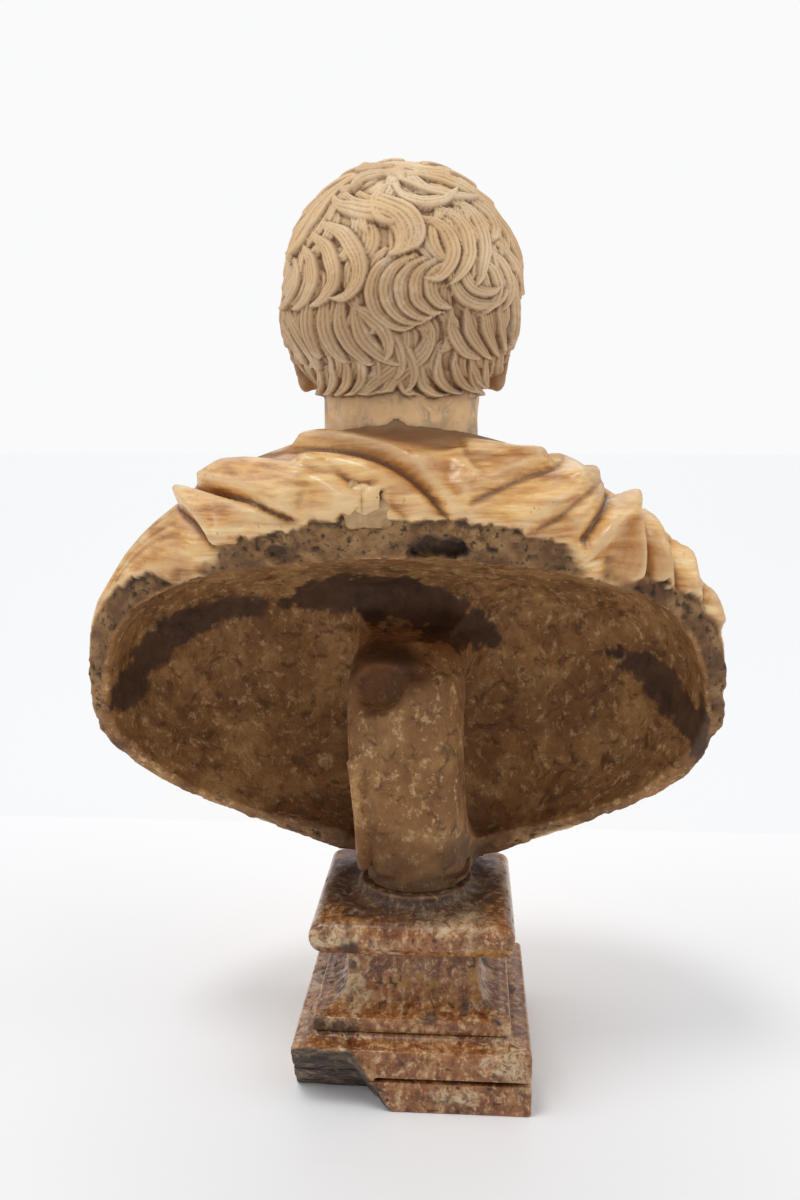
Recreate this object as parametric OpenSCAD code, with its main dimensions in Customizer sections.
// Draped marble bust on a stacked stone pedestal.
// A hollow-backed torso with a central strut stands on an iron dowel, a separate head is let
// into its neck socket, and the pedestal is four bedded stones with one broken corner.
// +Z is up, the face looks along -Y, and the origin is the centre of the pedestal's underside.

/* [Pedestal] */
// Width of the square plinth slab and base block
plinth_w = 190; // [186:1:194]
// Height of the plinth slab
slab_h = 25; // [20:1:27]
// Thickness of the recessed mortar in the open joint above the slab
slab_bed_h = 3; // [2:1:4]
// Height at which the base block's fascia ends
base_top_z = 51; // [48:1:52]
// Height of the bed joint under the scotia stone
die_z = 56; // [54:1:58]
// Width of the scotia stone's square fillet
fillet_w = 158; // [150:1:162]
// Width at the narrowest part of the scotia
waist_w = 106; // [100:1:110]
// Height of the bed joint under the cap
cap_z = 116; // [112:1:118]
// Width of the cap across its rounded edge
cap_w = 163; // [158:1:166]
// Height of the cap's flat top
cap_top_z = 150; // [148:1:151]
// Height of the round boss that the bust stands on
boss_top_z = 158; // [156:1:158]
// Thickness of the two closed bed joints
bed_h = 1; // [0.5:0.5:1.5]

/* [Torso] */
// Sideways place of the torso's middle at the shoulders
lean_x = 12; // [8:1:14]
// Radius of the round foot under the strut
foot_r = 40; // [38:1:42]
// Depth of the drapery folds
fold_d = 4; // [1:0.5:5]

/* [Head] */
// Height of the top of the hair
head_top_z = 738; // [734:1:742]
// Height of the chin's underside
chin_z = 498; // [494:1:502]
// Relief of the hair
hair_d = 2.5; // [1:0.5:3]

/* [Fixings] */
// Radius of the round iron dowel that the bust stands on
dowel_r = 9; // [8:0.5:10]
// Running clearance between the dowel and its bronze sleeve
dowel_play = 0.05; // [0.03:0.01:0.08]
// Width of the square iron bar in the neck
neck_bar_w = 14; // [12:1:16]
// Radius of the iron pins between the pedestal's stones
pin_r = 4; // [3:0.5:5]

/* [Hidden] */

stone_red = [0.62, 0.33, 0.20];
stone_honey = [0.80, 0.58, 0.34];
stone_pale = [0.78, 0.69, 0.55];
mortar_grey = [0.72, 0.68, 0.60];
iron = [0.25, 0.23, 0.22];
lead = [0.45, 0.46, 0.48];
bronze = [0.55, 0.42, 0.24];

half = plinth_w / 2;
base_z = slab_h + slab_bed_h;
bed_inset = 6;
arc_steps = 10;
ring_steps = 72;

// The dowel goes as deep into the cap as it stands up into the bust.
dowel_low = boss_top_z - 38;
dowel_high = boss_top_z + 52;
lead_r = dowel_r + 4;
sleeve_r = dowel_r + 5;
sleeve_top = dowel_high + 2;
socket_play = 0.3;

// The neck's seat slopes down to the front; a tenon goes below it and an iron bar through both.
seat_z = 482;
seat_tilt = 20;
neck_r = 62;
tenon_r = 50;
tenon_h = 24;
mortar_t = 3;
bar_low = 438;
bar_high = 530;
bar_play = 0.2;

// The patch let into the torn edge at the middle of the back.
patch_size = [26, 14, 24];
patch_at = [18, 83, 463];

// Sections of the torso: height, half-width, front, widest line and back.
torso_rows = [
    [160, 72, -60, -44, -41], [172, 98, -72, -40, -35], [188, 136, -86, -33, -27],
    [206, 172, -98, -26, -19], [225, 208, -110, -18, -10], [246, 234, -121, -10, -1],
    [270, 251, -130, 0, 10], [300, 262, -138, 8, 24], [335, 260, -144, 16, 40],
    [370, 252, -147, 20, 56], [395, 244, -147, 20, 67], [415, 231, -145, 20, 76],
    [437, 216, -139, 18, 88], [455, 198, -131, 14, 97], [475, 173, -118, 8, 98],
    [492, 147, -103, 4, 91], [505, 122, -90, 2, 83], [515, 94, -76, 0, 75], [524, 68, -66, 0, 69],
    [530, 44, -40, 8, 66]];

// Sections of the hollow: height, half-width and front.
hollow_rows = [
    [182, 62, -58], [200, 130, -72], [225, 182, -86], [250, 211, -97], [280, 232, -107],
    [310, 241, -113], [340, 239, -117], [370, 228, -113], [394, 207, -92], [411, 176, -56],
    [425, 128, -12], [433, 78, 28], [437, 30, 55]];

// Sections of the strut: height, middle, half-width, front and back.
strut_rows = [
    [166, 0, 40, -40, 40], [176, 1, 42, -56, 39], [200, 4, 47, -72, 37], [250, 9, 49, -92, 36],
    [300, 10, 50, -108, 34], [328, 10, 49, -116, 28], [343, 10, 44, -118, 8], [352, 10, 34, -119, -30]];

// Sections of the head and neck: height, half-width, front, widest line and back.
head_rows = [
    [450, neck_r, -62, 0, 62], [500, neck_r, -62, 0, 62], [506, neck_r, -90, 0, 62],
    [522, neck_r, -106, 0, 62], [540, 66, -109, 0, 62], [557, 71, -110, 2, 66], [572, 80, -111, 2, 76],
    [592, 89, -110, 2, 87], [617, 95, -107, 0, 93], [640, 98, -110, -2, 93], [665, 96, -108, -4, 86],
    [690, 88, -98, -6, 69], [710, 74, -82, -8, 46], [724, 54, -62, -10, 25],
    [head_top_z - 4, 29, -38, -10, 6], [head_top_z, 8, -18, -10, -3]];
head_x = lean_x + 1;

// The face is laid out in sevenths of the head's height, with the eyes at half of it.
face_unit = (head_top_z - chin_z) / 7;
eye_z = chin_z + 3.5 * face_unit;
brow_z = chin_z + 4 * face_unit;
nose_base_z = chin_z + 2 * face_unit;
mouth_z = chin_z + 1.33 * face_unit;
eye_gap = 31;

function spow(v, e) = sign(v) * pow(abs(v), e);

// The torso's middle drifts sideways from the foot up to the shoulders.
function middle_x(z) = lean_x * min(1, max(0, (z - 160) / 120));

// A point of a rounded section at angle a, with separate depths ahead of and behind its widest line.
function section_point(mx, z, hw, front, wide, back, a, e, swell) =
    [mx + (hw + swell) * spow(cos(a), e),
     wide + (a < 180 ? back - wide + swell : wide - front + swell) * spow(sin(a), e), z];

// Folds fan out from the neck over the shoulders and hang in swags on the chest.
function fold(a, z) =
    let(upper = max(0, min(1, (z - 440) / 25)) * max(0, min(1, (522 - z) / 12)),
        lower = max(0, min(1, (z - 200) / 40)) * max(0, min(1, (470 - z) / 30)),
        front = a > 180 ? 1 : 0)
    fold_d * (upper * sin(9 * a + 3 * z) + lower * front * sin(14 * a + 4 * abs(a - 270)));

// Tiers of locks cover the skull above the nape and behind the brow.
function lock(a, z) =
    let(back = max(0, min(1, (z - 556) / 12)), brow = sin(a) > -0.45 || z > 680 ? 1 : 0)
    hair_d * back * brow * sin(11 * a + 90 * floor(z / 18)) * sin(20 * (z - 556));

function ring_of(r, mx, e, kind) = [for (i = [0 : ring_steps - 1])
    let(a = i * 360 / ring_steps, s = kind == "torso" ? fold(a, r[0]) : lock(a, r[0]))
    section_point(mx, r[0], r[1], r[2], r[3], r[4], a, e, s)];

// Rings between two rows, so that a loft bends smoothly from row to row.
function ease(a, b, t) = a + (b - a) * t;
function refine(rows, n) = [for (i = [0 : len(rows) - 2], k = [0 : n - 1]) ease(rows[i], rows[i + 1], k / n),
                            rows[len(rows) - 1]];

// A closed solid through a stack of rings of equal length, from the lowest to the highest.
module loft(rings) {
    n = len(rings[0]);
    m = len(rings);
    sides = [for (j = [0 : m - 2], i = [0 : n - 1])
        [j * n + i, (j + 1) * n + i, (j + 1) * n + (i + 1) % n, j * n + (i + 1) % n]];
    low = [for (i = [0 : n - 1]) i];
    high = [for (i = [0 : n - 1]) m * n - 1 - i];
    polyhedron(points = [for (r = rings) each r], faces = concat(sides, [low, high]), convexity = 10);
}

// A square stone whose sides follow one profile of [half-width, height] points.
module square_moulding(profile) {
    outline = concat(profile, [for (i = [len(profile) - 1 : -1 : 0]) [-profile[i][0], profile[i][1]]]);
    reach = 2 * plinth_w;
    intersection() {
        rotate([90, 0, 0]) linear_extrude(reach, center = true) polygon(outline);
        rotate([90, 0, 90]) linear_extrude(reach, center = true) polygon(outline);
    }
}

// The piece of stone that broke away from the back corner: an undercut face and a side face.
module broken_corner() {
    reach = 300;
    intersection() {
        translate([50, half, base_top_z + 1]) rotate([57.5, 0, 0])
            translate([-reach / 2, -reach / 2, -reach]) cube(reach);
        translate([50, half, base_top_z + 1]) rotate([0, 29, 34])
            translate([0, -reach / 2, -reach / 2]) cube(reach);
    }
}

module pin_places() {
    for (side = [-1, 1]) translate([side * 34, -side * 20, 0]) children();
}

module plinth_slab() {
    color(stone_red) difference() {
        translate([-half, -half, 0]) cube([plinth_w, plinth_w, slab_h]);
        broken_corner();
    }
}

module slab_bed() {
    w = plinth_w - 2 * bed_inset;
    color(mortar_grey) difference() {
        translate([-w / 2, -w / 2, slab_h]) cube([w, w, slab_bed_h]);
        broken_corner();
    }
}

// Fascia, then a cavetto that sinks in to the bed of the scotia stone.
module base_block() {
    seat = fillet_w / 2 - 2;
    run = half - 3 - seat;
    rise = die_z - base_top_z;
    profile = concat([[half, base_z], [half, base_top_z - 2], [half - 2, base_top_z]],
        [for (i = [0 : arc_steps]) let(a = 90 * i / arc_steps)
            [seat + run * (1 - sin(a)), base_top_z + rise * (1 - cos(a))]]);
    color(stone_red) difference() {
        square_moulding(profile);
        broken_corner();
        pin_places() translate([0, 0, die_z - 24]) cylinder(r = pin_r, h = 40, $fn = 48);
    }
}

module bed(z, w) {
    color(mortar_grey) difference() {
        translate([-w / 2, -w / 2, z]) cube([w, w, bed_h]);
        pin_places() translate([0, 0, z - 5]) cylinder(r = pin_r, h = 10, $fn = 48);
    }
}

module die_bed() bed(die_z, fillet_w - 10);

module cap_bed() bed(cap_z, waist_w - 4);

// Square fillet below, a scotia hollow between, and a short upright neck under the cap.
module scotia_die() {
    foot = die_z + bed_h;
    fillet_top = 69;
    lip = 75;
    waist_z = 93;
    run = lip - waist_w / 2;
    profile = concat([[fillet_w / 2, foot], [fillet_w / 2, fillet_top], [lip, fillet_top + 1]],
        [for (i = [1 : arc_steps]) let(a = 90 * i / arc_steps)
            [lip - run * sin(a), waist_z - (waist_z - fillet_top - 1) * cos(a)]],
        [[waist_w / 2, cap_z - 6], [waist_w / 2 + 3, cap_z]]);
    color(stone_red) difference() {
        square_moulding(profile);
        pin_places() translate([0, 0, foot - 40]) cylinder(r = pin_r, h = 64, $fn = 48);
        pin_places() translate([0, 0, cap_z - 14]) cylinder(r = pin_r, h = 40, $fn = 48);
    }
}

// Ovolo edge, a flat top and the round boss that carries the bust.
module pedestal_cap() {
    low = cap_z + bed_h;
    under = 60;
    nose = cap_w / 2;
    nose_z = 138;
    shoulder = 68;
    boss_r = foot_r + 8;
    profile = concat([[under, low]],
        [for (i = [0 : arc_steps]) let(a = 90 * i / arc_steps)
            [under + 4 + (nose - under - 4) * sin(a), nose_z - (nose_z - low - 1) * cos(a)]],
        [for (i = [1 : arc_steps]) let(a = 90 * i / arc_steps)
            [shoulder + (nose - shoulder) * cos(a), nose_z + (cap_top_z - nose_z) * sin(a)]]);
    color(stone_red) difference() {
        union() {
            square_moulding(profile);
            translate([0, 0, cap_top_z]) cylinder(r = boss_r, h = boss_top_z - cap_top_z, $fn = 96);
        }
        translate([0, 0, dowel_low]) cylinder(r = lead_r, h = 60, $fn = 64);
        pin_places() translate([0, 0, low - 5]) cylinder(r = pin_r, h = 17, $fn = 48);
    }
}

// Four iron pins: two across each closed bed joint.
module pedestal_pins() {
    length = 24;
    color(iron) for (z = [die_z, cap_z]) pin_places()
        translate([0, 0, z - length / 2]) cylinder(r = pin_r, h = length, $fn = 48);
}

module bust_dowel() {
    color(iron) translate([0, 0, dowel_low]) cylinder(r = dowel_r, h = dowel_high - dowel_low, $fn = 64);
}

// Lead run in round the dowel in the cap's socket.
module dowel_lead() {
    color(lead) translate([0, 0, dowel_low]) difference() {
        cylinder(r = lead_r, h = boss_top_z - dowel_low, $fn = 64);
        translate([0, 0, -5]) cylinder(r = dowel_r, h = 80, $fn = 64);
    }
}

// Blind bronze sleeve in the torso's foot, in which the dowel turns.
module foot_sleeve() {
    color(bronze) translate([0, 0, boss_top_z]) difference() {
        cylinder(r = sleeve_r, h = sleeve_top + 2 - boss_top_z, $fn = 64);
        translate([0, 0, -1]) cylinder(r = dowel_r + dowel_play, h = sleeve_top - boss_top_z + 1, $fn = 64);
    }
}

module torso_envelope() {
    loft([for (r = refine(torso_rows, 2)) ring_of(r, middle_x(r[0]), 0.86, "torso")]);
}

// The back is hollowed from behind; the hollow's section is a half round carried out backwards.
module torso_hollow() {
    out = 220;
    loft([for (r = refine(hollow_rows, 2)) let(rear = max(10, r[2] + 40)) concat(
        [[middle_x(r[0]) - r[1], out, r[0]]],
        [for (i = [0 : 36]) let(a = 180 + 5 * i)
            [middle_x(r[0]) + r[1] * spow(cos(a), 0.8), rear + (rear - r[2]) * spow(sin(a), 0.9), r[0]]],
        [[middle_x(r[0]) + r[1], out, r[0]]])]);
}

module torso_strut() {
    loft([for (r = refine(strut_rows, 2))
        [for (i = [0 : ring_steps - 1]) let(a = i * 360 / ring_steps, y = (r[3] + r[4]) / 2)
            section_point(r[1], r[0], r[2], r[3], y, r[4], a, 0.7, 0)]]);
    translate([0, 0, boss_top_z]) cylinder(r = foot_r, h = 9, $fn = ring_steps);
}

// Local frame of the neck's sloping seat.
module at_seat() {
    translate([head_x, 0, seat_z]) rotate([seat_tilt, 0, 0]) children();
}

// Everything above a plane parallel to the seat.
module above_seat(rise) {
    reach = 700;
    at_seat() translate([-reach / 2, -reach / 2, rise]) cube(reach);
}

// The tapered tenon under the neck.
module tenon(grow) {
    at_seat() translate([0, 0, -tenon_h - grow]) cylinder(r1 = tenon_r - 8 + grow, r2 = tenon_r + grow,
        h = tenon_h + grow + mortar_t + 1, $fn = ring_steps);
}

// The whole of what goes into the torso, grown for the socket.
module neck_plug(grow) {
    intersection() {
        translate([head_x, 0, 430]) cylinder(r = neck_r + grow, h = 140, $fn = ring_steps);
        above_seat(mortar_t - grow);
    }
    tenon(grow);
}

module bar_hole() {
    w = neck_bar_w + 2 * bar_play;
    translate([head_x - w / 2, -w / 2, bar_low - 1]) cube([w, w, bar_high - bar_low + 2]);
}

module torso() {
    collar_rise = 30;
    color(stone_honey) resize([0, 0, 0]) difference() {
        union() {
            difference() {
                torso_envelope();
                torso_hollow();
            }
            torso_strut();
        }
        above_seat(collar_rise);
        neck_plug(mortar_t);
        bar_hole();
        translate(patch_at) cube(patch_size + [0, 40, 0]);
        translate([0, 0, boss_top_z - 20])
            cylinder(r = sleeve_r + socket_play, h = sleeve_top + 22.5 - boss_top_z, $fn = 96);
    }
}

// Stone let in flush with the back of the shoulders.
module rim_patch() {
    color(stone_pale) translate(patch_at) cube(patch_size);
}

// Lime mortar that lines the socket under and round the neck, short of the collar.
module neck_mortar() {
    fill_rise = 14;
    color(mortar_grey) resize([0, 0, 0]) difference() {
        neck_plug(mortar_t);
        neck_plug(0);
        above_seat(fill_rise);
        bar_hole();
    }
}

module neck_bar() {
    color(iron) translate([head_x - neck_bar_w / 2, -neck_bar_w / 2, bar_low])
        cube([neck_bar_w, neck_bar_w, bar_high - bar_low]);
}

module blob(at, size) {
    translate(at) scale(size) sphere(r = 1, $fn = 22);
}

// Plain face on the classical canon: nose, two lips, chin, brows and eyeballs.
module face_relief() {
    blob([0, -107, nose_base_z + 3], [17, 14, 9]);
    hull() {
        blob([0, -104, eye_z], [7, 10, 8]);
        blob([0, -118, nose_base_z + 10], [11, 14, 8]);
    }
    blob([0, -106, mouth_z + 4], [24, 9, 5]);
    blob([0, -105, mouth_z - 5], [20, 9, 5]);
    blob([0, -98, chin_z + 15], [26, 16, 15]);
    for (side = [-1, 1]) {
        blob([side * eye_gap, -98, brow_z], [22, 12, 7]);
        blob([side * eye_gap, -86, eye_z], [14, 13, 11]);
    }
}

module eye_hollows() {
    for (side = [-1, 1]) blob([side * eye_gap, -108, eye_z], [20, 12, 12]);
}

// Ears lie between the brow and the base of the nose.
module ear(side) {
    blob([side * 87, 8, (brow_z + nose_base_z) / 2 + 3], [9, 17, 30]);
    blob([side * 79, 2, nose_base_z + 5], [7, 10, 14]);
}

module head() {
    color(stone_pale) resize([0, 0, 0]) difference() {
        union() {
            intersection() {
                difference() {
                    loft([for (r = refine(head_rows, 2)) ring_of(r, head_x, 1, "head")]);
                    translate([head_x, 0, 0]) eye_hollows();
                }
                above_seat(mortar_t);
            }
            translate([head_x, 0, 0]) {
                face_relief();
                for (side = [-1, 1]) ear(side);
            }
            tenon(0);
        }
        bar_hole();
    }
}

plinth_slab();
slab_bed();
base_block();
die_bed();
scotia_die();
cap_bed();
pedestal_cap();
pedestal_pins();
bust_dowel();
dowel_lead();
torso();
foot_sleeve();
rim_patch();
neck_mortar();
neck_bar();
head();
